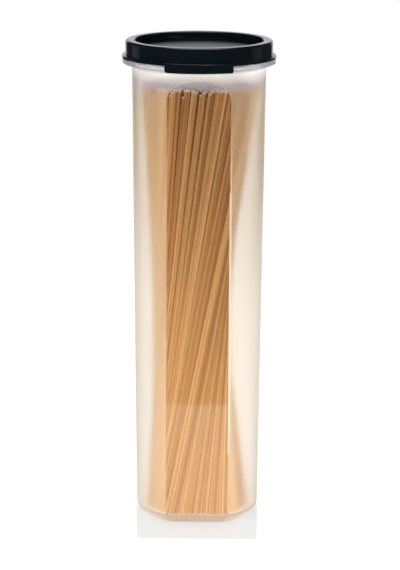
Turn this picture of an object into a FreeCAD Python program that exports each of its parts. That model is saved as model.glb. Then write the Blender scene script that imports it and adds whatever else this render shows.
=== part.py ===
import FreeCAD, Part
import Sketcher
import math
import os

# A tall tapered canister for spaghetti: a frosted container with two clear flats, a press-fit lid, and its load.
# Millimetres, with the origin at the middle of the underside, the front window towards -Y and +Z up.

os.makedirs("parts", exist_ok=True)
doc = FreeCAD.newDocument("canister")
sheet = doc.addObject("Spreadsheet::Sheet", "Sizes")

chosen = [
    # container
    ("base_radius", "36.2"),
    ("shoulder_radius", "39.1"),
    ("body_height", "271"),
    ("wall", "1.5"),
    ("floor_thickness", "4.6"),
    ("foot_round", "5.6"),
    ("inner_round", "2"),
    ("inner_flat_round", "1"),
    ("window_width", "36.8"),
    ("window_margin", "18.2"),
    ("window_runout", "12"),
    ("window_foot_round", "3.6"),
    ("flange_reach", "5.7"),
    ("flange_thickness", "3"),
    ("flange_round", "0.6"),
    ("gusset_reach", "0.7"),
    ("gusset_drop", "1.6"),
    ("neck_height", "8.7"),
    ("mouth_step", "1.5"),
    ("bead_reach", "0.5"),
    ("bead_height", "3.2"),
    ("bead_round", "0.9"),
    ("cut_margin", "10"),
    # lid
    ("lid_clearance", "0.2"),
    ("lid_wall", "1.5"),
    ("plug_clearance", "0.2"),
    ("skirt_clearance", "0.4"),
    ("plug_depth", "7"),
    ("lip_overhang", "0.2"),
    ("lip_thickness", "1.5"),
    ("lip_round", "0.6"),
    ("recess_depth", "4.9"),
    ("recess_step", "0.4"),
    ("recess_border", "5.6"),
    ("crest_outer_round", "1.5"),
    ("crest_inner_round", "1"),
    ("channel_round", "1"),
    ("tab_half_angle", "25.8"),
    ("tab_thickness", "1.6"),
    ("tab_drop", "4"),
    ("tab_corner_round", "1"),
    ("tab_clearance", "0.3"),
    ("tab_side_clearance", "0.7"),
    # load
    ("strand_pitch", "1.9"),
    ("strand_bulge", "0.45"),
    ("bundle_twist", "95"),
    ("bundle_twist_spread", "30"),
    ("bundle_twist_side", "45"),
    ("bundle_head_shift", "1"),
    ("bundle_clearance", "0.35"),
    ("bundle_foot_clearance", "1.2"),
    ("bundle_side_clearance", "2.4"),
    ("seat_clearance", "0.05"),
    ("headspace", "16.9"),
]
derived = [
    ("body_flare", "(shoulder_radius - base_radius) / body_height"),
    ("base_flat", "sqrt(base_radius * base_radius - window_width * window_width / 4)"),
    ("shoulder_flat", "sqrt(shoulder_radius * shoulder_radius - window_width * window_width / 4)"),
    ("flat_flare", "(shoulder_flat - base_flat) / body_height"),
    ("window_top", "body_height - window_margin"),
    ("window_flat", "base_flat + flat_flare * window_top"),
    ("runout_top", "window_top + window_runout"),
    ("runout_climb", "base_radius + body_flare * runout_top - window_flat"),
    ("runout_radius", "(window_runout * window_runout + runout_climb * runout_climb) / (2 * runout_climb)"),
    ("gusset_bottom", "body_height - gusset_drop"),
    ("gusset_chamfer", "gusset_bottom + gusset_reach"),
    ("gusset_foot", "base_radius + body_flare * gusset_bottom"),
    ("gusset_radius", "shoulder_radius + gusset_reach"),
    ("flange_radius", "shoulder_radius + flange_reach"),
    ("flange_top", "body_height + flange_thickness"),
    ("rim_top", "flange_top + neck_height"),
    ("ledge_height", "body_height + wall"),
    ("ledge_radius", "base_radius - wall + body_flare * ledge_height"),
    ("neck_inner", "ledge_radius + mouth_step"),
    ("neck_outer", "neck_inner + wall"),
    ("bead_radius", "neck_outer + bead_reach"),
    ("bead_shoulder", "rim_top - bead_height"),
    ("bead_bottom", "bead_shoulder - bead_reach"),
    ("cut_reach", "flange_radius + cut_margin"),
    ("cut_low", "0 - cut_margin"),
    ("cut_high", "rim_top + cut_margin"),
    ("foot_flat_in", "base_flat - window_foot_round"),
    ("foot_flat_up", "base_flat + flat_flare * window_foot_round"),
    ("runout_end", "(gusset_bottom + runout_top) / 2"),
    ("runout_rise", "runout_end - window_top"),
    ("runout_end_out", "window_flat + runout_radius - sqrt(runout_radius * runout_radius - runout_rise * runout_rise)"),
    ("cavity_foot", "base_radius - wall + body_flare * floor_thickness"),
    ("inner_flat", "window_flat - wall"),
    ("inner_runout", "runout_radius + wall"),
    ("inner_end_out", "window_flat + runout_radius - sqrt(inner_runout * inner_runout - runout_rise * runout_rise)"),
    ("inner_foot_flat", "base_flat - wall + flat_flare * floor_thickness"),
    ("inner_foot_in", "inner_foot_flat - inner_flat_round"),
    ("inner_foot_up", "inner_foot_flat + flat_flare * inner_flat_round"),
    ("inner_foot_height", "floor_thickness + inner_flat_round"),
    ("lip_bottom", "flange_top + lid_clearance"),
    ("lip_top", "lip_bottom + lip_thickness"),
    ("lip_radius", "flange_radius + lip_overhang"),
    ("channel_top", "rim_top + lid_clearance"),
    ("lid_crest", "channel_top + lid_wall"),
    ("skirt_inner", "bead_radius + skirt_clearance"),
    ("skirt_outer", "skirt_inner + lid_wall"),
    ("plug_bottom", "rim_top - plug_depth"),
    ("plug_outer", "neck_inner - plug_clearance"),
    ("plug_inner", "plug_outer - lid_wall"),
    ("recess_floor", "lid_crest - recess_depth"),
    ("recess_raised", "recess_floor + recess_step"),
    ("panel_under", "recess_floor - lid_wall"),
    ("panel_radius", "plug_inner - recess_border"),
    ("panel_edge", "panel_radius + recess_step"),
    ("tab_inner", "lip_radius - tab_thickness"),
    ("tab_bottom", "lip_bottom - tab_drop"),
    ("tab_root", "lip_bottom + lip_thickness / 2"),
    ("tab_angle", "2 * tab_half_angle"),
    ("notch_radius", "tab_inner - tab_clearance"),
    ("notch_angle", "2 * (tab_half_angle + tab_side_clearance)"),
    ("bundle_bottom", "floor_thickness + seat_clearance"),
    ("bundle_top", "plug_bottom - headspace"),
    ("bundle_foot_wide", "cavity_foot - inner_round - bundle_foot_clearance"),
    ("bundle_foot_deep", "inner_foot_in - bundle_clearance"),
    ("bundle_head_wide", "base_radius - wall + body_flare * bundle_top - bundle_side_clearance"),
    ("bundle_head_deep", "base_flat - wall + flat_flare * window_top - bundle_clearance"),
]
row = 1
for name, value in chosen:
    sheet.set("A%d" % row, name)
    sheet.set("B%d" % row, value)
    sheet.setAlias("B%d" % row, name)
    row += 1
for name, formula in derived:
    sheet.set("A%d" % row, name)
    sheet.set("B%d" % row, "=" + formula)
    sheet.setAlias("B%d" % row, name)
    row += 1
doc.recompute()


def size(name):
    """The value of a cell, or its negative when the name starts with a minus sign."""
    if name == "0":
        return 0.0
    if name[0] == "-":
        return -float(sheet.get(name[1:]))
    return float(sheet.get(name))


def formula_for(name):
    if name[0] == "-":
        return "-Sizes." + name[1:]
    return "Sizes." + name


def plane(body, role):
    for item in body.Origin.OriginFeatures:
        if item.Role == role:
            return item
    raise RuntimeError("no plane " + role)


def outline(body, name, role, points, arcs):
    """A closed outline on an upright plane, from cell names for across and up.

    arcs maps a corner to the radius of the arc that starts there, with a minus sign where the arc bends left.
    """
    sketch = body.newObject("Sketcher::SketchObject", name)
    sketch.AttachmentSupport = [(plane(body, role), "")]
    sketch.MapMode = "FlatFace"
    count = len(points)
    spots = [FreeCAD.Vector(size(y), size(z), 0) for y, z in points]
    ends = []
    for i in range(count):
        start = spots[i]
        stop = spots[(i + 1) % count]
        if i in arcs:
            radius = abs(size(arcs[i]))
            left = arcs[i][0] == "-"
            chord = stop - start
            half = chord.Length / 2
            side = FreeCAD.Vector(chord.y, -chord.x, 0).normalize() * (-1 if left else 1)
            centre = start + chord * 0.5 + side * math.sqrt(radius * radius - half * half)
            first = start if left else stop
            last = stop if left else start
            begin = math.atan2(first.y - centre.y, first.x - centre.x)
            end = math.atan2(last.y - centre.y, last.x - centre.x)
            while end < begin:
                end += 2 * math.pi
            circle = Part.Circle(centre, FreeCAD.Vector(0, 0, 1), radius)
            sketch.addGeometry(Part.ArcOfCircle(circle, begin, end), False)
            ends.append((1, 2) if left else (2, 1))
        else:
            sketch.addGeometry(Part.LineSegment(start, stop), False)
            ends.append((1, 2))
    for i in range(count):
        after = (i + 1) % count
        sketch.addConstraint(Sketcher.Constraint("Coincident", i, ends[i][1], after, ends[after][0]))
    for i in range(count):
        across, up = points[i]
        corner = ends[i][0]
        if across == "0":
            sketch.addConstraint(Sketcher.Constraint("PointOnObject", i, corner, -2))
        else:
            place = sketch.addConstraint(Sketcher.Constraint("DistanceX", -1, 1, i, corner, size(across)))
            sketch.setExpression("Constraints[%d]" % place, formula_for(across))
        if up == "0":
            sketch.addConstraint(Sketcher.Constraint("PointOnObject", i, corner, -1))
        else:
            place = sketch.addConstraint(Sketcher.Constraint("DistanceY", -1, 1, i, corner, size(up)))
            sketch.setExpression("Constraints[%d]" % place, formula_for(up))
        if i in arcs:
            place = sketch.addConstraint(Sketcher.Constraint("Radius", i, abs(size(arcs[i]))))
            sketch.setExpression("Constraints[%d]" % place, formula_for(arcs[i].strip("-")))
    doc.recompute()
    return sketch


def turned(body, kind, name, sketch, angle):
    """A revolution or groove about the upright axis, a part turn being centred on the front."""
    feature = body.newObject("PartDesign::" + kind, name)
    feature.Profile = sketch
    feature.ReferenceAxis = (sketch, ["V_Axis"])
    feature.Angle = 360
    if angle:
        feature.Midplane = True
        feature.setExpression("Angle", "Sizes." + angle)
    doc.recompute()
    return feature


def rims(shape, wanted):
    """Names of the circular edges that lie at the given pairs of cell names, radius and height."""
    names = []
    for radius, height in wanted:
        found = []
        for number, edge in enumerate(shape.Edges, 1):
            if not isinstance(edge.Curve, Part.Circle):
                continue
            if abs(edge.Curve.Radius - size(radius)) < 0.02 and abs(edge.CenterOfMass.z - size(height)) < 0.02:
                found.append("Edge%d" % number)
        if not found:
            raise RuntimeError("no rim at " + radius + " " + height)
        names += found
    return names


def rounded(body, name, base, edges, radius):
    feature = body.newObject("PartDesign::Fillet", name)
    feature.Base = (base, edges)
    feature.setExpression("Radius", "Sizes." + radius)
    doc.recompute()
    return feature


def cut_flat(body, name, points, arcs):
    """Cuts one flat through the whole width."""
    sketch = outline(body, name + "_outline", "YZ_Plane", points, arcs)
    before = body.Shape.Volume
    pocket = body.newObject("PartDesign::Pocket", name)
    pocket.Profile = sketch
    pocket.Type = "ThroughAll"
    pocket.Midplane = True
    doc.recompute()
    if body.Shape.Volume >= before - 1:
        raise RuntimeError(name + " cut nothing")


def flats(body, name, points, arcs):
    """Cuts the front flat with its runout, and the same again at the back, its outline drawn the other way round."""
    cut_flat(body, name + "_front", points, arcs)
    behind = [(across[1:], up) for across, up in reversed(points)]
    turned_arcs = {}
    for corner, radius in arcs.items():
        turned_arcs[len(points) - 2 - corner] = radius
    cut_flat(body, name + "_back", behind, turned_arcs)


# Container: the outer form, cut by the flats, less the cavity.

outer = doc.addObject("PartDesign::Body", "outer_form")
shell = [
    ("0", "0"),
    ("base_radius", "0"),
    ("gusset_foot", "gusset_bottom"),
    ("gusset_radius", "gusset_chamfer"),
    ("gusset_radius", "body_height"),
    ("flange_radius", "body_height"),
    ("flange_radius", "flange_top"),
    ("neck_outer", "flange_top"),
    ("neck_outer", "bead_bottom"),
    ("bead_radius", "bead_shoulder"),
    ("bead_radius", "rim_top"),
    ("0", "rim_top"),
]
form = turned(outer, "Revolution", "outer_turn", outline(outer, "outer_outline", "XZ_Plane", shell, {}), "")
foot = rounded(outer, "foot_edge", form, rims(form.Shape, [("base_radius", "0")]), "foot_round")
edges = rims(foot.Shape, [("flange_radius", "body_height"), ("flange_radius", "flange_top")])
ring = rounded(outer, "flange_edge", foot, edges, "flange_round")
bead = rounded(outer, "bead_edge", ring, rims(ring.Shape, [("bead_radius", "rim_top")]), "bead_round")
front = [
    ("-cut_reach", "cut_low"),
    ("-foot_flat_in", "cut_low"),
    ("-foot_flat_in", "0"),
    ("-foot_flat_up", "window_foot_round"),
    ("-window_flat", "window_top"),
    ("-runout_end_out", "runout_end"),
    ("-cut_reach", "runout_end"),
]
flats(outer, "window", front, {2: "window_foot_round", 4: "-runout_radius"})
notch_points = [
    ("-cut_reach", "gusset_bottom"),
    ("-notch_radius", "gusset_bottom"),
    ("-notch_radius", "bead_bottom"),
    ("-cut_reach", "bead_bottom"),
]
before = outer.Shape.Volume
turned(outer, "Groove", "tab_notch", outline(outer, "notch_outline", "YZ_Plane", notch_points, {}), "notch_angle")
if outer.Shape.Volume >= before - 1:
    raise RuntimeError("the notch cut nothing")

inner = doc.addObject("PartDesign::Body", "cavity_form")
hollow = [
    ("0", "floor_thickness"),
    ("cavity_foot", "floor_thickness"),
    ("ledge_radius", "ledge_height"),
    ("neck_inner", "ledge_height"),
    ("neck_inner", "cut_high"),
    ("0", "cut_high"),
]
form = turned(inner, "Revolution", "cavity_turn", outline(inner, "cavity_outline", "XZ_Plane", hollow, {}), "")
foot = rounded(inner, "cavity_edge", form, rims(form.Shape, [("cavity_foot", "floor_thickness")]), "inner_round")
front = [
    ("-cut_reach", "cut_low"),
    ("-inner_foot_in", "cut_low"),
    ("-inner_foot_in", "floor_thickness"),
    ("-inner_foot_up", "inner_foot_height"),
    ("-inner_flat", "window_top"),
    ("-inner_end_out", "runout_end"),
    ("-cut_reach", "runout_end"),
]
flats(inner, "inner_window", front, {2: "inner_flat_round", 4: "-inner_runout"})

container = doc.addObject("Part::Cut", "container")
container.Base = outer
container.Tool = inner
container.Label = "container"
doc.recompute()

# Lid: a rim channel over the container's bead, with a plug inside the mouth, a recessed panel and a pull tab.

lid = doc.addObject("PartDesign::Body", "lid")
lid.Label = "lid"
section = [
    ("0", "panel_under"),
    ("plug_inner", "panel_under"),
    ("plug_inner", "plug_bottom"),
    ("plug_outer", "plug_bottom"),
    ("plug_outer", "channel_top"),
    ("skirt_inner", "channel_top"),
    ("skirt_inner", "lip_bottom"),
    ("lip_radius", "lip_bottom"),
    ("lip_radius", "lip_top"),
    ("skirt_outer", "lip_top"),
    ("skirt_outer", "lid_crest"),
    ("plug_inner", "lid_crest"),
    ("plug_inner", "recess_floor"),
    ("panel_edge", "recess_floor"),
    ("panel_radius", "recess_raised"),
    ("0", "recess_raised"),
]
form = turned(lid, "Revolution", "lid_turn", outline(lid, "lid_outline", "XZ_Plane", section, {}), "")
crest = rounded(lid, "crest_outer", form, rims(form.Shape, [("skirt_outer", "lid_crest")]), "crest_outer_round")
crest = rounded(lid, "crest_inner", crest, rims(crest.Shape, [("plug_inner", "lid_crest")]), "crest_inner_round")
edges = rims(crest.Shape, [("skirt_inner", "channel_top")])
crest = rounded(lid, "channel_corner", crest, edges, "channel_round")
tab_points = [
    ("-lip_radius", "tab_bottom"),
    ("-tab_inner", "tab_bottom"),
    ("-tab_inner", "tab_root"),
    ("-lip_radius", "tab_root"),
]
tab = turned(lid, "Revolution", "tab", outline(lid, "tab_outline", "YZ_Plane", tab_points, {}), "tab_angle")
tab_edges = []
for number, edge in enumerate(tab.Shape.Edges, 1):
    low = all(abs(v.Z - size("tab_bottom")) < 0.01 for v in edge.Vertexes)
    if low and isinstance(edge.Curve, Part.Line) and abs(edge.Length - size("tab_thickness")) < 0.05:
        tab_edges.append("Edge%d" % number)
tab = rounded(lid, "tab_corner", tab, tab_edges, "tab_corner_round")
lip = rounded(lid, "lip_edge", tab, rims(tab.Shape, [("lip_radius", "lip_top")]), "lip_round")

# Load: one solid whose ridges are the outer strands of a twisted sheaf, wide at the foot and the head.

strands = int(round(2 * math.pi * size("bundle_foot_deep") * 0.8 / size("strand_pitch")))
corners = strands * 2
head_angles = [2 * math.pi * i / corners for i in range(corners)]


def foot_angle(head_angle):
    """Where the strand at this angle round the head stands at the foot: the sheaf twists most on one side."""
    more = size("bundle_twist_spread") * math.cos(head_angle - math.radians(size("bundle_twist_side")))
    return head_angle - math.radians(size("bundle_twist") + more)


def strand_ring(wide, deep, height, angles, shift):
    """Corners of a closed outline with one ridge and one valley for each strand."""
    ring = []
    for i, angle in enumerate(angles):
        inset = size("strand_bulge") * (i % 2)
        across = shift + (wide - inset) * math.cos(angle)
        ring.append(FreeCAD.Vector(across, (deep - inset) * math.sin(angle), height))
    return ring


foot_angles = [foot_angle(angle) for angle in head_angles]
foot_ring = strand_ring(
    size("bundle_foot_wide"), size("bundle_foot_deep"), size("bundle_bottom"), foot_angles, 0)
head_ring = strand_ring(
    size("bundle_head_wide"), size("bundle_head_deep"), size("bundle_top"), head_angles, size("bundle_head_shift"))
faces = []
for i in range(corners):
    after = (i + 1) % corners
    side = Part.BSplineSurface()
    poles = [[foot_ring[i], head_ring[i]], [foot_ring[after], head_ring[after]]]
    side.buildFromPolesMultsKnots(poles, [2, 2], [2, 2], [0.0, 1.0], [0.0, 1.0], False, False, 1, 1)
    faces.append(side.toShape())
faces.append(Part.Face(Part.makePolygon(foot_ring + foot_ring[:1])))
faces.append(Part.Face(Part.makePolygon(head_ring + head_ring[:1])))
skin = Part.makeShell(faces)
skin.sewShape()
sheaf = Part.makeSolid(skin)
if sheaf.Volume < 0:
    sheaf.reverse()
if not skin.isClosed():
    raise RuntimeError("the bundle is open")
bundle = doc.addObject("Part::Feature", "spaghetti_bundle")
bundle.Shape = sheaf
bundle.Label = "spaghetti_bundle"
doc.recompute()

for item in doc.Objects:
    if "Invalid" in item.State or "Error" in item.State:
        raise RuntimeError(item.Label + " is " + ", ".join(item.State))
for item in (container, lid, bundle):
    if item.Shape.isNull() or not item.Shape.isValid():
        raise RuntimeError(item.Label + " has a bad shape")
    print(item.Label, len(item.Shape.Solids), round(item.Shape.Volume / 1000, 2), item.Shape.BoundBox)
    item.Shape.exportStep("parts/" + item.Label + ".step")
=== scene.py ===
import math
import random

import bmesh
import bpy
from mathutils import Matrix, Vector


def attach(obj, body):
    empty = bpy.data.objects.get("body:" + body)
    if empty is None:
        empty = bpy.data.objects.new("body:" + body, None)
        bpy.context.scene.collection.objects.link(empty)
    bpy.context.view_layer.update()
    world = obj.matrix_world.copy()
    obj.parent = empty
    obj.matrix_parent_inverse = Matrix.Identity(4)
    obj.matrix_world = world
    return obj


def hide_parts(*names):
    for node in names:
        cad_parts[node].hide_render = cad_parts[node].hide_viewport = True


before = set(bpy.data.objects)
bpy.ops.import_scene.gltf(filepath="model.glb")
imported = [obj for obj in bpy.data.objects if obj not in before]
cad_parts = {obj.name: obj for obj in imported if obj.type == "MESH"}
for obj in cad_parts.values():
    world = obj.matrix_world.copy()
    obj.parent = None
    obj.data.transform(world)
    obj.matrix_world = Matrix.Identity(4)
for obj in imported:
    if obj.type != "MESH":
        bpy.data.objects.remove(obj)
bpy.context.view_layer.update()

scene = bpy.context.scene
MM = 0.001


class Graph:
    """A node tree that holds only its output at first, with short ways to add the nodes used here."""

    def __init__(self, tree, output):
        tree.nodes.clear()
        self.nodes = tree.nodes
        self.links = tree.links
        self.output = tree.nodes.new(output)

    def join(self, value, socket):
        """Links a socket to another one, or sets it to a plain number or colour."""
        if isinstance(value, bpy.types.NodeSocket):
            self.links.new(value, socket)
        else:
            socket.default_value = value

    def add(self, kind, settings):
        """A node with these sockets joined: returns its first output."""
        node = self.nodes.new(kind)
        for name, value in settings.items():
            self.join(value, node.inputs[name])
        return node.outputs[0]

    def show(self, surface):
        self.links.new(surface, self.output.inputs["Surface"])

    def place(self, kind):
        return self.nodes.new("ShaderNodeTexCoord").outputs[kind]

    def axes(self, place):
        split = self.nodes.new("ShaderNodeSeparateXYZ")
        self.links.new(place, split.inputs[0])
        return split.outputs

    def light_path(self):
        return self.nodes.new("ShaderNodeLightPath").outputs

    def attribute(self, name):
        node = self.nodes.new("ShaderNodeAttribute")
        node.attribute_name = name
        return node.outputs["Fac"]

    def math(self, operation, first, second=None):
        node = self.nodes.new("ShaderNodeMath")
        node.operation = operation
        self.join(first, node.inputs[0])
        if second is not None:
            self.join(second, node.inputs[1])
        return node.outputs[0]

    def square(self, value):
        return self.math("MULTIPLY", value, value)

    def ramp(self, value, low, high, start=0.0, end=1.0, smooth=False):
        """A number that goes from start to end while the value goes from low to high."""
        node = self.nodes.new("ShaderNodeMapRange")
        node.interpolation_type = "SMOOTHSTEP" if smooth else "LINEAR"
        node.inputs["From Min"].default_value = low
        node.inputs["From Max"].default_value = high
        node.inputs["To Min"].default_value = start
        node.inputs["To Max"].default_value = end
        self.links.new(value, node.inputs["Value"])
        return node.outputs[0]

    def grain(self, place, scale, detail):
        return self.add("ShaderNodeTexNoise", {"Vector": place, "Scale": scale, "Detail": detail})

    def bump(self, height, strength, distance):
        return self.add("ShaderNodeBump", {"Height": height, "Strength": strength, "Distance": distance})

    def tint(self, share, first, second):
        """Two colours mixed, with this share of the second."""
        node = self.nodes.new("ShaderNodeMix")
        node.data_type = "RGBA"
        self.join(share, node.inputs["Factor"])
        self.join(first, node.inputs["A"])
        self.join(second, node.inputs["B"])
        return node.outputs["Result"]

    def mix(self, share, first, second):
        """Two shaders mixed, with this share of the second."""
        node = self.nodes.new("ShaderNodeMixShader")
        self.join(share, node.inputs[0])
        self.links.new(first, node.inputs[1])
        self.links.new(second, node.inputs[2])
        return node.outputs[0]


def new_material(name):
    material = bpy.data.materials.new(name)
    material.use_nodes = True
    return material, Graph(material.node_tree, "ShaderNodeOutputMaterial")


# Camera: fitted to the photograph, 1.42 m in front, looking down by 13 degrees, with a slight roll.

CAMERA_PLACE = (0.00117, -1.4209, 0.46265)
CAMERA_DOWN = math.radians(12.87)
CAMERA_ROLL = 0.0051
CAMERA_LENS = 155.0
CAMERA_SENSOR = 36
CAMERA_CLIP = 20


def photo_camera():
    data = bpy.data.cameras.new("camera")
    data.sensor_width = CAMERA_SENSOR
    data.lens = CAMERA_LENS
    data.clip_end = CAMERA_CLIP
    camera = bpy.data.objects.new("camera", data)
    scene.collection.objects.link(camera)
    aim = Matrix.Rotation(math.pi / 2 - CAMERA_DOWN, 4, "X")
    roll = Matrix.Rotation(CAMERA_ROLL, 4, "Z")
    camera.matrix_world = Matrix.Translation(CAMERA_PLACE) @ aim @ roll
    return camera


scene.camera = photo_camera()
scene.view_settings.view_transform = "Standard"


# World: a white studio, with a dark room for reflections.

ROOM_GLOW = 0.03
BACKDROP_EDGE = 0.87
BACKDROP_FULL = 0.95
BACKDROP_GLOW = 0.92
CARDS = [((-0.88, 0.46, -0.1), 0.22), ((0.97, 0.22, -0.1), 0.14)]
CARD_EDGE = 0.98
CARD_FULL = 0.985
SOFT_LEFT = 0.95
SOFT_RIGHT = 0.75
WHITE = (1, 1, 1, 1)
HALF_BOUNCE = 0.5


def reflected_room(graph, direction):
    """What a reflection sees: a dark room with a white backdrop and a grey card to each side."""
    forward = graph.axes(direction)["Y"]
    room = graph.ramp(forward, BACKDROP_EDGE, BACKDROP_FULL, 0.0, BACKDROP_GLOW, smooth=True)
    for place, glow in CARDS:
        facing = graph.nodes.new("ShaderNodeVectorMath")
        facing.operation = "DOT_PRODUCT"
        facing.inputs[1].default_value = place
        graph.links.new(direction, facing.inputs[0])
        card = graph.ramp(facing.outputs["Value"], CARD_EDGE, CARD_FULL, ROOM_GLOW, glow, smooth=True)
        room = graph.math("MAXIMUM", room, card)
    return room


def studio_world():
    """White to the camera and straight through the plastic, and a soft light, dimmer from the right."""
    world = bpy.data.worlds.new("studio")
    world.use_nodes = True
    graph = Graph(world.node_tree, "ShaderNodeOutputWorld")
    direction = graph.place("Generated")
    path = graph.light_path()
    unscattered = graph.math("LESS_THAN", path["Diffuse Depth"], HALF_BOUNCE)
    through = graph.math("MULTIPLY", path["Is Transmission Ray"], unscattered)
    turned = graph.math("GREATER_THAN", path["Glossy Depth"], HALF_BOUNCE)
    inside = graph.math("MULTIPLY", through, turned)
    mirrored = graph.math("MAXIMUM", path["Is Glossy Ray"], inside)
    glossy = graph.math("MULTIPLY", mirrored, reflected_room(graph, direction))
    soft = graph.ramp(graph.axes(direction)["X"], -1.0, 1.0, SOFT_LEFT, SOFT_RIGHT, smooth=True)
    diffuse = graph.math("MULTIPLY", graph.math("SUBTRACT", 1.0, mirrored), soft)
    light = graph.math("ADD", glossy, diffuse)
    straight = graph.math("SUBTRACT", through, inside)
    seen = graph.math("MAXIMUM", path["Is Camera Ray"], straight)
    strength = graph.math("MAXIMUM", light, seen)
    graph.show(graph.add("ShaderNodeBackground", {"Color": WHITE, "Strength": strength}))
    return world


scene.world = studio_world()


# Lamps, in metres, watts and degrees: a softbox overhead and five fills.

BODY_MIDDLE = (0.0, 0.0, 0.24)
WIDE_OPEN = 180.0


def soft_lamp(name, place, target, width, depth, power, spread=WIDE_OPEN):
    lamp = bpy.data.lights.new(name, "AREA")
    lamp.shape = "RECTANGLE"
    lamp.size = width
    lamp.size_y = depth
    lamp.energy = power
    lamp.spread = math.radians(spread)
    item = bpy.data.objects.new(name, lamp)
    scene.collection.objects.link(item)
    item.location = place
    item.rotation_euler = (Vector(target) - Vector(place)).to_track_quat("-Z", "Y").to_euler()
    return item


def hidden_fill(name, place, target, width, depth, power, spread=WIDE_OPEN):
    """A lamp that reflections don't show and that isn't seen through the plastic."""
    fill = soft_lamp(name, place, target, width, depth, power, spread)
    fill.visible_glossy = False
    fill.visible_transmission = False


soft_lamp(
    "overhead",
    place=(0.0, 0.05, 1.25),
    target=(0.0, 0.0, 0.28),
    width=0.8,
    depth=0.8,
    power=6.0,
)
hidden_fill(
    "low_fill",
    place=(0.03, -0.2, 0.03),
    target=(0.0, 0.0, 0.04),
    width=0.3,
    depth=0.05,
    power=0.52,
)
hidden_fill(
    "high_fill",
    place=(-0.1, -0.3, 0.3),
    target=(0.0, 0.0, 0.22),
    width=0.2,
    depth=0.05,
    power=0.34,
)
hidden_fill(
    "neck_fill",
    place=(0.45, -0.35, 0.3),
    target=(0.034, -0.01, 0.27),
    width=0.06,
    depth=0.06,
    power=0.012,
    spread=9.0,
)
hidden_fill(
    "left_fill",
    place=(-0.9, -0.75, 0.36),
    target=BODY_MIDDLE,
    width=0.5,
    depth=0.5,
    power=4.7,
)
hidden_fill(
    "right_fill",
    place=(0.9, -0.75, 0.36),
    target=BODY_MIDDLE,
    width=0.5,
    depth=0.5,
    power=1.6,
)


# Table, in millimetres: a white top with a strip in front of the canister, a dim mirror that carries
# painted shade.

TABLE_HALF_WIDTH = 600.0
TABLE_FRONT = -270.0
TABLE_BACK = 900.0
TABLE_HEIGHT = -0.3
TABLE_GLOW = 0.78
TABLE_MATTE = (0.3, 0.3, 0.3, 1)
TABLE_BOUNCE = (0.9, 0.9, 0.9, 1)
SHADED_MIRROR_SHARE = 0.33
STRIP_HALF_WIDTH = 36.1
STRIP_TAPER = 0.03
STRIP_REACH = 60.0
STRIP_EDGE = 1.5
STRIP_END = 10.0
# A dark mirror colour: it dims the strip in front of the canister as painted shade.
SHADED_MIRROR_COLOUR = (0.28, 0.3, 0.32, 1)
MIRROR_ROUGHNESS = 0.28


def mirror_and_painted_shade_strip(graph):
    """1 on the strip that stands for the reflection in the photograph, a dim mirror with painted shade,
    and 0 elsewhere.
    """
    axes = graph.axes(graph.place("Object"))
    taper = graph.math("MULTIPLY", axes["Y"], STRIP_TAPER)
    sideways = graph.math("SUBTRACT", graph.math("ABSOLUTE", axes["X"]), taper)
    side = STRIP_HALF_WIDTH * MM
    beside = graph.ramp(sideways, side, side + STRIP_EDGE * MM, smooth=True)
    across = graph.math("SUBTRACT", 1.0, beside)
    reach = -STRIP_REACH * MM
    front = graph.ramp(axes["Y"], reach, reach + STRIP_EDGE * MM, smooth=True)
    back = graph.ramp(axes["Y"], STRIP_END * MM, 0.0, smooth=True)
    return graph.math("MULTIPLY", graph.math("MULTIPLY", across, front), back)


def table_white():
    """White where it is seen, with a dim mirror on the strip that darkens it as painted shade, and plain
    white to reflections.
    """
    material, graph = new_material("table_white")
    glow = graph.add("ShaderNodeEmission", {"Strength": TABLE_GLOW})
    matte = graph.add("ShaderNodeBsdfDiffuse", {"Color": TABLE_MATTE})
    lit = graph.nodes.new("ShaderNodeAddShader")
    graph.links.new(glow, lit.inputs[0])
    graph.links.new(matte, lit.inputs[1])
    mirror = graph.add("ShaderNodeBsdfGlossy", {"Color": SHADED_MIRROR_COLOUR, "Roughness": MIRROR_ROUGHNESS})
    # The strip's share of the dark mirror, which paints shade on the floor in front of the canister.
    shaded_mirror_share = graph.math("MULTIPLY", mirror_and_painted_shade_strip(graph), SHADED_MIRROR_SHARE)
    seen = graph.mix(shaded_mirror_share, lit.outputs[0], mirror)
    bounce = graph.add("ShaderNodeBsdfDiffuse", {"Color": TABLE_BOUNCE})
    reflected = graph.add("ShaderNodeEmission", {"Strength": 1.0})
    path = graph.light_path()
    straight = graph.math("MAXIMUM", path["Is Camera Ray"], path["Is Transmission Ray"])
    surface = graph.mix(straight, bounce, seen)
    graph.show(graph.mix(path["Is Glossy Ray"], surface, reflected))
    return material


def table_top():
    corners = []
    for x, y in (
        (-TABLE_HALF_WIDTH, TABLE_FRONT),
        (TABLE_HALF_WIDTH, TABLE_FRONT),
        (TABLE_HALF_WIDTH, TABLE_BACK),
        (-TABLE_HALF_WIDTH, TABLE_BACK),
    ):
        corners.append((x * MM, y * MM, TABLE_HEIGHT * MM))
    mesh = bpy.data.meshes.new("table_top")
    mesh.from_pydata(corners, [], [(0, 1, 2, 3)])
    mesh.materials.append(table_white())
    table = bpy.data.objects.new("table_top", mesh)
    scene.collection.objects.link(table)
    return table


table = table_top()


# Container, in millimetres: frosted outside and polished clear on the flats, one moulding.

BASE_RADIUS = 36.2
SHOULDER_RADIUS = 39.1
BODY_HEIGHT = 271.0
WALL = 1.5
RIM_HEIGHT = 282.7
WINDOW_WIDTH = 36.8
WINDOW_TOP = 252.8
WINDOW_RUNOUT = 12.0

# Frost: all over below the clear flats, a haze on their runouts, and less from the ring up.

CLEAR_BOTTOM = 5.4
HAZE_START = 5.5
HAZE_FULL = 9.0
RUNOUT_HAZE = 0.36
RING_FOOT = 270.4
RING_FROST = 0.35

# The painted highlight along the flats' right-hand edges, a pale line: dim at the foot, and gone at the
# top.

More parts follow.
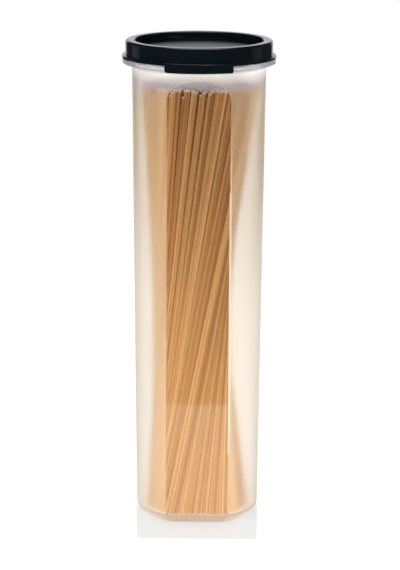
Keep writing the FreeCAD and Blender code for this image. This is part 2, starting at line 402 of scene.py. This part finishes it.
EDGE_LINE = 0.9
EDGE_HIGHLIGHT_MILK = 0.65
EDGE_DIM = 0.35
EDGE_RISE = 25.0
EDGE_BRIGHT = 75.0
EDGE_FADE = 215.0
EDGE_END = 250.0

# Plastic: the clear part, and the cloudy part's colour and share by height in millimetres. The cloudy
# colour is painted light: painted shade with warm pasta light at the foot, warm painted bounce light
# from the pasta beside it, painted shade over the pasta's top, a painted highlight below the ring, and
# painted shade on the ring under the lid.

PLASTIC_TINT = (1.0, 0.971, 0.956, 1)
PLASTIC_IOR = 1.33
POLISHED_ROUGHNESS = 0.03
POLISHED_COAT = 0.5
ETCHED_ROUGHNESS = 0.31
ETCHED_SCALE = 1800
ETCHED_DETAIL = 2
ETCHED_STRENGTH = 0.3
ETCHED_DEPTH = 0.03
SHADE_COLOUR = (0.9, 0.9, 0.89, 1)
MILK_AND_PAINTED_LIGHT_COLOURS = [
    (0, (0.52, 0.33, 0.19)),
    (3, (0.87, 0.64, 0.45)),
    (5.5, (0.86, 0.69, 0.5)),
    (8, (1.0, 0.89, 0.68)),
    (150, (1.0, 0.87, 0.63)),
    (240, (1.0, 0.79, 0.47)),
    (256, (1.0, 0.85, 0.62)),
    (261, (0.81, 0.74, 0.81)),
    (267, (0.92, 0.85, 0.77)),
    (268.3, (1.0, 0.97, 0.92)),
    (269, (0.66, 0.67, 0.69)),
    (271.5, (0.5, 0.53, 0.58)),
]
MILK_SHARES = [
    (0, 0.5),
    (8, 0.21),
    (150, 0.25),
    (262, 0.25),
    (266, 0.52),
    (268, 0.7),
    (268.8, 0.95),
]
MILK_BACK_SHARE = 0.5
# Paler painted light at the foot's rounded sides, where the painted shade at the foot gives way.
CORNER_PAINTED_LIGHT = (0.98, 0.88, 0.74, 1)
CORNER_START = 17.0
CORNER_FULL = 28.0
CORNER_TOP = 9.0
CORNER_LOW = 4.0


def radius_at(height):
    return BASE_RADIUS + (SHOULDER_RADIUS - BASE_RADIUS) * height / BODY_HEIGHT


def flat_at(height):
    return math.sqrt(radius_at(height) ** 2 - WINDOW_WIDTH ** 2 / 4)


def line_through(graph, height, low, high):
    """A length that changes in a straight line with height, from two pairs of height and length."""
    slope = (high[1] - low[1]) / (high[0] - low[0])
    rise = graph.math("MULTIPLY", height, slope)
    return graph.math("ADD", rise, (low[1] - slope * low[0]) * MM)


def flat_depth(graph, height, rise):
    """How far a flat lies from the axis: it slopes with the wall, and runs out in an arc at its top."""
    low = graph.math("MINIMUM", height, WINDOW_TOP * MM)
    flat = line_through(graph, low, (0, flat_at(0)), (WINDOW_TOP, flat_at(WINDOW_TOP)))
    climb = radius_at(WINDOW_TOP + WINDOW_RUNOUT) - flat_at(WINDOW_TOP)
    arc = (WINDOW_RUNOUT ** 2 + climb ** 2) / (2 * climb) * MM
    below = graph.math("SUBTRACT", arc ** 2, graph.square(rise))
    bend = graph.math("SQRT", graph.math("MAXIMUM", below, 0.0))
    return graph.math("ADD", flat, graph.math("SUBTRACT", arc, bend))


def painted_edge_highlight(graph, axes, frosted, beside):
    """The milky share of the painted highlight, a pale line along the flats' right-hand edges."""
    near = graph.math("LESS_THAN", beside, EDGE_LINE * MM)
    right = graph.math("GREATER_THAN", axes["X"], 0.0)
    line = graph.math("MULTIPLY", graph.math("MULTIPLY", frosted, near), right)
    rising = graph.ramp(axes["Z"], EDGE_RISE * MM, EDGE_BRIGHT * MM, EDGE_DIM, 1.0)
    fading = graph.ramp(axes["Z"], EDGE_FADE * MM, EDGE_END * MM, 1.0, 0.0)
    line = graph.math("MULTIPLY", graph.math("MULTIPLY", line, rising), fading)
    return graph.math("MULTIPLY", line, EDGE_HIGHLIGHT_MILK)


def frost_masks(graph, axes):
    """Frost, 1 outside and 0 inside and on the flats, and the milky share of the painted highlight along
    the flats' edges.
    """
    height = axes["Z"]
    rise = graph.math("MAXIMUM", graph.math("SUBTRACT", height, WINDOW_TOP * MM), 0.0)
    wall = line_through(graph, height, (0, BASE_RADIUS), (BODY_HEIGHT, SHOULDER_RADIUS))
    depth = flat_depth(graph, height, rise)
    edge = graph.math("SUBTRACT", graph.square(wall), graph.square(depth))
    across = graph.square(axes["X"])
    away = graph.math("ADD", across, graph.square(axes["Y"]))
    middle = graph.math("SUBTRACT", wall, WALL / 2 * MM)
    outside = graph.math("GREATER_THAN", away, graph.square(middle))
    frosted = graph.math("MULTIPLY", graph.math("GREATER_THAN", across, edge), outside)
    foot = graph.math("LESS_THAN", height, CLEAR_BOTTOM * MM)
    haze = graph.ramp(rise, HAZE_START * MM, HAZE_FULL * MM, 0.0, RUNOUT_HAZE)
    dull = graph.math("MAXIMUM", graph.math("MAXIMUM", frosted, foot), haze)
    ring = graph.math("GREATER_THAN", height, RING_FOOT * MM)
    cleared = graph.math("MULTIPLY", ring, 1.0 - RING_FROST)
    frost = graph.math("MULTIPLY", dull, graph.math("SUBTRACT", 1.0, cleared))
    half_width = graph.math("SQRT", graph.math("MAXIMUM", edge, 0.0))
    beside = graph.math("SUBTRACT", graph.math("SQRT", across), half_width)
    return frost, painted_edge_highlight(graph, axes, frosted, beside)


def height_ramp(graph, height, stops):
    """A colour that changes with height, from pairs of height in millimetres and colour."""
    ramp = graph.nodes.new("ShaderNodeValToRGB")
    graph.links.new(graph.math("DIVIDE", height, RIM_HEIGHT * MM), ramp.inputs["Fac"])
    elements = ramp.color_ramp.elements
    while len(elements) < len(stops):
        elements.new(0.5)
    for element, (level, colour) in zip(elements, stops):
        element.position = level / RIM_HEIGHT
        element.color = (*colour, 1)
    return ramp.outputs["Color"]


def milk_with_painted_light(graph, axes):
    """The cloudy part of the plastic, its colour painted light: warm painted bounce light beside the
    pasta, and paler at the foot's rounded sides.
    """
    # The colour by height is painted light and shade, not the plastic's own colour.
    colour = height_ramp(graph, axes["Z"], MILK_AND_PAINTED_LIGHT_COLOURS)
    sideways = graph.math("ABSOLUTE", axes["X"])
    side = graph.ramp(sideways, CORNER_START * MM, CORNER_FULL * MM)
    low = graph.ramp(axes["Z"], CORNER_TOP * MM, CORNER_LOW * MM)
    colour = graph.tint(graph.math("MULTIPLY", side, low), colour, CORNER_PAINTED_LIGHT)
    through = graph.add("ShaderNodeBsdfTranslucent", {"Color": colour})
    back = graph.add("ShaderNodeBsdfDiffuse", {"Color": colour})
    return graph.mix(MILK_BACK_SHARE, through, back)


def clear_plastic(graph, roughness, settings):
    """The plastic's clear part, polished or etched."""
    common = {
        "Base Color": PLASTIC_TINT,
        "IOR": PLASTIC_IOR,
        "Roughness": roughness,
        "Transmission Weight": 1.0,
    }
    return graph.add("ShaderNodeBsdfPrincipled", {**common, **settings})


def frosted_plastic():
    material, graph = new_material("frosted_plastic")
    place = graph.place("Object")
    axes = graph.axes(place)
    frost, edge_highlight = frost_masks(graph, axes)
    polished = clear_plastic(graph, POLISHED_ROUGHNESS, {"Coat Weight": POLISHED_COAT})
    grain = graph.grain(place, ETCHED_SCALE, ETCHED_DETAIL)
    normal = graph.bump(grain, ETCHED_STRENGTH, ETCHED_DEPTH * MM)
    etched = clear_plastic(graph, ETCHED_ROUGHNESS, {"Normal": normal})
    greys = [(height, (share, share, share)) for height, share in MILK_SHARES]
    # The painted highlight along the flats' right-hand edges raises the milky share there.
    milk_share = graph.math("MAXIMUM", height_ramp(graph, axes["Z"], greys), edge_highlight)
    cloudy = graph.mix(milk_share, etched, milk_with_painted_light(graph, axes))
    body = graph.mix(frost, polished, cloudy)
    shade = graph.add("ShaderNodeBsdfTransparent", {"Color": SHADE_COLOUR})
    graph.show(graph.mix(graph.light_path()["Is Shadow Ray"], body, shade))
    return material


# Lid: glossy black, duller on its recessed panel.

LID_COLOUR = (0.0018, 0.0039, 0.0057, 1)
LID_IOR = 1.5
LID_SMOOTHEST = 0.08
LID_ROUGHEST = 0.14
LID_SCALE = 900
LID_DETAIL = 3
PANEL_RADIUS = 32.0
PANEL_DULLING = 0.2


def black_plastic():
    material, graph = new_material("black_plastic")
    place = graph.place("Object")
    axes = graph.axes(place)
    rough = graph.ramp(graph.grain(place, LID_SCALE, LID_DETAIL), 0.0, 1.0, LID_SMOOTHEST, LID_ROUGHEST)
    away = graph.math("SQRT", graph.math("ADD", graph.square(axes["X"]), graph.square(axes["Y"])))
    panel = graph.math("LESS_THAN", away, PANEL_RADIUS * MM)
    rough = graph.math("ADD", rough, graph.math("MULTIPLY", panel, PANEL_DULLING))
    settings = {"Base Color": LID_COLOUR, "IOR": LID_IOR, "Roughness": rough}
    graph.show(graph.add("ShaderNodeBsdfPrincipled", settings))
    return material


def dress(node, material):
    """Gives a CAD node its material, on every slot it has."""
    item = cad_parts[node]
    if not item.material_slots:
        item.data.materials.append(material)
    for slot in item.material_slots:
        slot.link = "OBJECT"
        slot.material = material


dress("container", frosted_plastic())
dress("lid", black_plastic())


# Pasta: each strand has its own tone between dark and pale, paler towards the foot as painted light from
# below, with a paler broken head that is partly a painted highlight.

DARK_PASTA = (0.48, 0.185, 0.06, 1)
PALE_PASTA = (0.785, 0.474, 0.19, 1)
# The broken head's colour: partly the paler broken pasta, partly a painted highlight.
BROKEN_AND_GLINTING_PASTA = (0.98, 0.9, 0.86, 1)
PASTA_ROUGHNESS = 0.42
PASTA_IOR = 1.45
PASTA_SPECULAR = 0.15
PASTA_THROUGH = 0.27
SPECK_SCALE = (900, 900, 60)
SPECK_DETAIL = 3
SPECK_STRENGTH = 0.08
SPECK_DEPTH = 0.1


def dry_pasta():
    material, graph = new_material("dry_pasta")
    tone = graph.nodes.new("ShaderNodeValToRGB")
    tone.color_ramp.elements[0].color = DARK_PASTA
    tone.color_ramp.elements[1].color = PALE_PASTA
    graph.links.new(graph.attribute("tone"), tone.inputs["Fac"])
    colour = graph.tint(graph.attribute("tip"), tone.outputs["Color"], BROKEN_AND_GLINTING_PASTA)
    along = graph.add("ShaderNodeMapping", {"Vector": graph.place("Object"), "Scale": SPECK_SCALE})
    normal = graph.bump(graph.grain(along, 1.0, SPECK_DETAIL), SPECK_STRENGTH, SPECK_DEPTH * MM)
    settings = {
        "Base Color": colour,
        "Roughness": PASTA_ROUGHNESS,
        "IOR": PASTA_IOR,
        "Specular IOR Level": PASTA_SPECULAR,
        "Normal": normal,
    }
    solid = graph.add("ShaderNodeBsdfPrincipled", settings)
    through = graph.add("ShaderNodeBsdfTranslucent", {"Color": colour})
    graph.show(graph.mix(PASTA_THROUGH, solid, through))
    return material


# Spaghetti, in millimetres: straight strands in rings, from an even foot to a wider, uneven head.

FOOT_HEIGHT = 4.65
FOOT_WIDE = 31.2
FOOT_DEEP = 28.4
FOOT_FILL = 1.14
FOOT_SCATTER = 0.04
SCATTER_BIAS = 1.5
HEAD_HEIGHT = 259.2
HEAD_WIDE = 36.0
HEAD_DEEP = 32.2
HEAD_SHIFT = 1.0
HEAD_UNEVEN = 2.0
HEAD_SWAY = math.radians(3.5)
SHORT_SHARE = 0.1
SHORT_BY = 6.0
TWIST = math.radians(90)
TWIST_SPREAD = math.radians(25)
TWIST_SIDE = math.radians(40)
STRAND_RADIUS = 1.0
SIDES = 10
TIP_LENGTH = 1.2
PITCH = 1.6
SPACING = 1.9
JOSTLE = 0.15
RECESS = 0.07
CLUMP = 2
SEED = 11

# Tones: 0 is dark and 1 is pale.

MEAN_TONE = 0.5
CLUMP_TONES = 0.2
STRAND_TONES = 0.24
# Painted light from below: towards the foot each tone moves to this paler one, keeping this share of its
# difference from the mean.
FOOT_LIT_TONE = 0.7
FOOT_LIT_CONTRAST = 0.8


def strand(builder, tone, tip, foot, top, shade):
    """One straight round strand between two points, cut level at the foot, paler at the foot as painted
    light from below, with a pale broken head that is partly a painted highlight.
    """
    lean = (top - foot).normalized()
    side = lean.orthogonal().normalized()
    other = lean.cross(side)
    # Painted light from below: the tone at the foot is paler and closer to the others.
    painted_foot_light = FOOT_LIT_TONE + (shade - MEAN_TONE) * FOOT_LIT_CONTRAST
    levels = (
        (foot, painted_foot_light, 0.0),
        (top - lean * TIP_LENGTH, shade, 0.0),
        (top, shade, 1.0),
    )
    rings = []
    for spot, lightness, broken_and_glint in levels:
        ring = []
        for i in range(SIDES):
            angle = 2 * math.pi * i / SIDES
            out = (side * math.cos(angle) + other * math.sin(angle)) * STRAND_RADIUS
            if spot is foot:
                out -= lean * (out.z / lean.z)
            vert = builder.verts.new((spot + out) * MM)
            vert[tone] = lightness
            vert[tip] = broken_and_glint
            ring.append(vert)
        rings.append(ring)
    for low, high in zip(rings, rings[1:]):
        for i in range(SIDES):
            j = (i + 1) % SIDES
            face = builder.faces.new((low[i], low[j], high[j], high[i]))
            face.smooth = True
    for ring, up in ((rings[0], False), (rings[-1], True)):
        cap = [builder.verts.new(vert.co) for vert in ring]
        for vert in cap:
            vert[tone] = shade
            vert[tip] = 1.0
        builder.faces.new(cap if up else list(reversed(cap)))


def head_place(angle, out):
    place = Vector((out * math.cos(angle) * HEAD_WIDE, out * math.sin(angle) * HEAD_DEEP, HEAD_HEIGHT))
    place.x += HEAD_SHIFT
    return place


def foot_place(angle, out):
    """A place on the floor, where the rings are flattened along the flats to fill their corners."""
    fill = min(1.0, FOOT_FILL * abs(math.sin(angle)))
    deep = math.copysign(fill, math.sin(angle)) * FOOT_DEEP
    return Vector((out * math.cos(angle) * FOOT_WIDE, out * deep, FOOT_HEIGHT))


def strand_ring(builder, tone, tip, reach, chance):
    """One ring of strands, twisted more on one side, in small clumps that sway and are toned alike."""
    count = max(1, int(2 * math.pi * reach * HEAD_WIDE / SPACING))
    start = chance.random()
    left = 0
    for i in range(count):
        if left == 0:
            left = chance.randint(1, CLUMP)
            sway = chance.uniform(-HEAD_SWAY, HEAD_SWAY)
            inward = FOOT_SCATTER * chance.random() ** SCATTER_BIAS
            lightness = chance.gauss(MEAN_TONE, CLUMP_TONES)
        left -= 1
        head = 2 * math.pi * (i + start + chance.uniform(-JOSTLE, JOSTLE)) / count
        base = head - TWIST - TWIST_SPREAD * math.cos(head - TWIST_SIDE)
        out = reach * chance.uniform(1 - RECESS, 1.0)
        top = head_place(head + sway, out)
        top.z -= HEAD_UNEVEN * chance.random()
        if chance.random() < SHORT_SHARE:
            top.z -= SHORT_BY * chance.random()
        foot = foot_place(base, (out + reach) / 2 * (1 - inward))
        shade = min(1.0, max(0.0, lightness + chance.gauss(0.0, STRAND_TONES)))
        strand(builder, tone, tip, foot, top, shade)


def spaghetti():
    """Rings of strands from the outside in, as one mesh."""
    chance = random.Random(SEED)
    builder = bmesh.new()
    tone = builder.verts.layers.float.new("tone")
    tip = builder.verts.layers.float.new("tip")
    for ring in range(int(FOOT_DEEP / PITCH)):
        reach = 1 - (ring * PITCH + STRAND_RADIUS) / FOOT_DEEP
        strand_ring(builder, tone, tip, reach, chance)
    mesh = bpy.data.meshes.new("spaghetti_strands")
    builder.to_mesh(mesh)
    builder.free()
    mesh.materials.append(dry_pasta())
    item = bpy.data.objects.new("spaghetti_strands", mesh)
    scene.collection.objects.link(item)
    return item


strands = spaghetti()
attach(strands, "spaghetti")
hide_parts("spaghetti_bundle")
